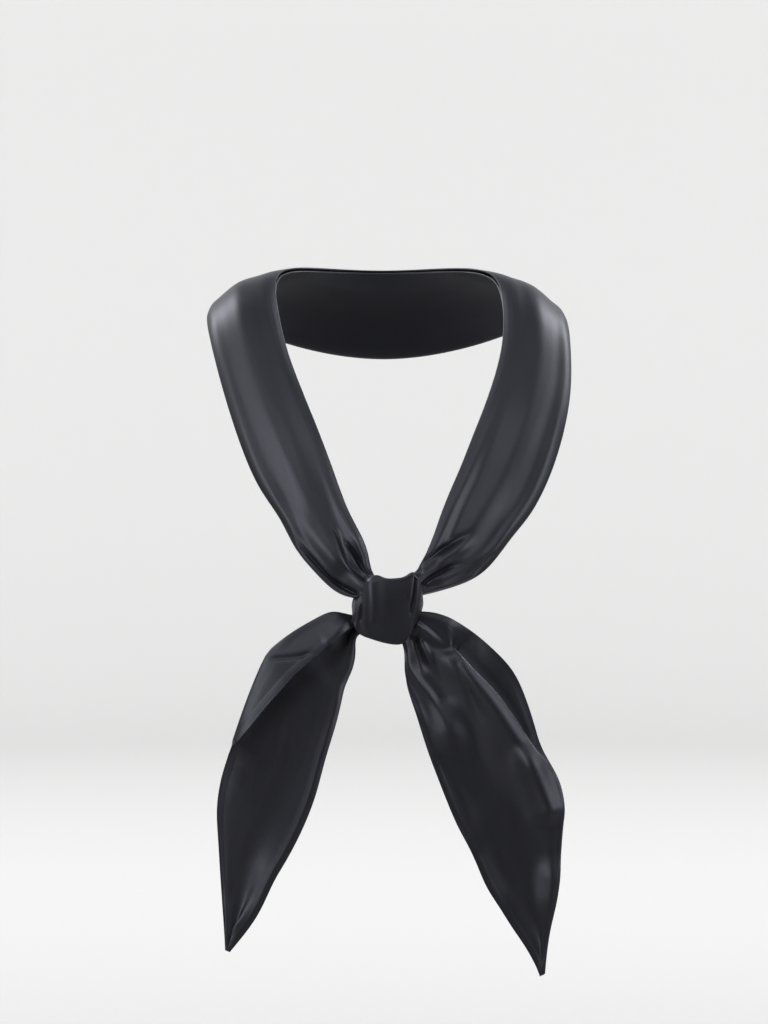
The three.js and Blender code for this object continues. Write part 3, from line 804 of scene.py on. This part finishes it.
# Satin: a near-black cloth whose lights are soft. Threads and slubs run along the cloth on its
# own UV map, and cloudy noise varies the colour and the gloss a little.
def satinMaterial(name, look):
    finish = Finish(name)
    uv = finish.node("ShaderNodeUVMap", {"uv_map": "cloth"})[0]
    place = finish.node("ShaderNodeTexCoord")[3]  # Object coordinates
    stretched = finish.node("ShaderNodeMapping", {}, {"Vector": uv, "Scale": look["stretch"]})[0]

    def noise(at, size, detail):
        return finish.node("ShaderNodeTexNoise", {}, {"Vector": at, "Scale": look[size], "Detail": detail})[0]

    threads = noise(stretched, "weave", 1)
    slubs = noise(stretched, "slubs", 2)
    clouds = noise(place, "clouds", 3)
    tone = look["tone"][0] * clouds + look["tone"][1] * slubs
    colour = finish.node(
        "ShaderNodeMix", {"data_type": "RGBA"}, {"Factor": tone, "A": look["dark"], "B": look["light"]}
    )[2]
    relief = look["relief"][0] * threads + look["relief"][1] * slubs
    bump = finish.node(
        "ShaderNodeBump", {}, {"Height": relief, "Strength": look["bump"], "Distance": look["bumpHeight"]}
    )[0]
    finish.fill(
        finish.shader,
        {
            "Base Color": colour,
            "Roughness": look["roughness"] + look["roughnessRange"] * (tone - 0.5),
            "Normal": bump,
            "Sheen Weight": look["sheen"],
            "Sheen Roughness": look["sheenRoughness"],
            "Sheen Tint": look["sheenTint"],
            "Specular IOR Level": look["gloss"],
            "Specular Tint": look["glossTint"],
        },
    )
    return finish.material


satinCloth = satinMaterial("satinCloth", satin)
for piece, node, flat, area, rests in (
    (band, "neck_band", bandFlat, bandArea, ()),
    (wrap, "knot_wrap", wrapFlat, wrapArea, ["neckBand"]),
    (left, "left_tail", leftFlat, leftArea, ["knotWrap"]),
    (right, "right_tail", rightFlat, rightArea, ["knotWrap"]),
):
    piece.data.materials.append(satinCloth)
    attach(piece, "root")
    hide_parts(node)
print("stage: satin on every piece")


studio = {
    "floor": -0.66,
    "flat": 2.4,  # radius of the flat floor
    "bend": 1.1,  # radius of the bend into the backdrop
    "top": 3.6,  # height of the backdrop above the floor
    "hole": 0.0002,  # radius at the middle, where the sweep starts
    "bendPoints": 17,
    "sides": 96,
    "paper": (0.335, 0.3315, 0.3225, 1),
    "paperRoughness": 0.9,
    "paperGloss": 0.1,
    "world": 0.06,
    "daylight": (0.96, 0.975, 1),
    "aim": (0, -0.17, -0.22),
    "backdrop": (0, 2.8, 0.25),
}
# Lamps: place, what it is turned to, width, height, power in watts.
lamps = {
    "keyLeft": ((-1.62, -1.56, 0.62), "aim", 0.8, 2.2, 45),
    "keyRight": ((1.82, -1.4, 0.62), "aim", 0.8, 2.2, 43),
    "top": ((-0.15, -1.4, 1.6), "aim", 0.8, 0.8, 10),
    "backLeft": ((-1.5, 0.8, 1.5), "backdrop", 1.4, 1.4, 128),
    "backRight": ((1.5, 0.8, 1.5), "backdrop", 1.4, 1.4, 128),
}


# Floor and backdrop in one paper sweep all round: a profile of (radius, height) turned about
# the upright axis. It is flat, then bends up in a quarter circle, then stands upright.
def paperSweep(look):
    flat, bend, sides = look["flat"], look["bend"], look["sides"]
    arc = np.linspace(0, math.pi / 2, look["bendPoints"])
    radius = np.concatenate([[look["hole"]], flat + bend * np.sin(arc), [flat + bend]])
    height = look["floor"] + np.concatenate([[0], bend * (1 - np.cos(arc)), [look["top"]]])
    turn = np.arange(sides) * 2 * math.pi / sides
    places = np.stack(
        [np.outer(np.sin(turn), radius), np.outer(np.cos(turn), radius), np.tile(height, (sides, 1))],
        axis=-1,
    )
    i, j = np.meshgrid(np.arange(sides), np.arange(len(radius) - 1), indexing="ij")
    first, after = i * len(radius) + j, (i + 1) % sides * len(radius) + j
    quads = np.stack([first, first + 1, after + 1, after], axis=-1).reshape(-1, 4)
    mesh = bpy.data.meshes.new("paperSweep")
    mesh.from_pydata(places.reshape(-1, 3).tolist(), [], quads.tolist())
    mesh.polygons.foreach_set("use_smooth", np.ones(len(quads), bool))
    sweep = bpy.data.objects.new("paperSweep", mesh)
    scene.collection.objects.link(sweep)
    paper = Finish("paper")
    paper.fill(
        paper.shader,
        {
            "Base Color": look["paper"],
            "Roughness": look["paperRoughness"],
            "Specular IOR Level": look["paperGloss"],
        },
    )
    mesh.materials.append(paper.material)


# An oblong soft light at a place, turned to where it aims.
def softLight(name, place, target, width, height, power):
    lamp = bpy.data.lights.new(name, "AREA")
    lamp.shape, lamp.size, lamp.size_y = "RECTANGLE", width, height
    lamp.energy, lamp.color = power, studio["daylight"]
    holder = bpy.data.objects.new(name, lamp)
    aim = np.array(studio[target]) - np.array(place)
    turn = math.atan2(aim[1], aim[0]) - math.pi / 2
    holder.location = place
    holder.rotation_euler = (math.acos(-aim[2] / np.linalg.norm(aim)), 0, turn)
    scene.collection.objects.link(holder)


paperSweep(studio)
for name, lamp in lamps.items():
    softLight(name, *lamp)
world = bpy.data.worlds.new("studio")
world.use_nodes = True
world.node_tree.nodes["Background"].inputs["Color"].default_value = (*studio["daylight"], 1)
world.node_tree.nodes["Background"].inputs["Strength"].default_value = studio["world"]
scene.world = world
scene.view_settings.view_transform = "Standard"

# The camera of the photograph: level with the nape, two metres away and turned down 4 degrees.
view = {"place": (0, -2.172986, -0.011257), "down": 4.0, "lens": 112.5, "sensor": 36}
camera = bpy.data.cameras.new("camera")
camera.lens = view["lens"]
camera.sensor_fit, camera.sensor_height = "VERTICAL", view["sensor"]
holder = bpy.data.objects.new("camera", camera)
holder.location = view["place"]
holder.rotation_euler = (math.radians(90 - view["down"]), 0, 0)
scene.collection.objects.link(holder)
scene.camera = holder
print("stage: studio and camera set")
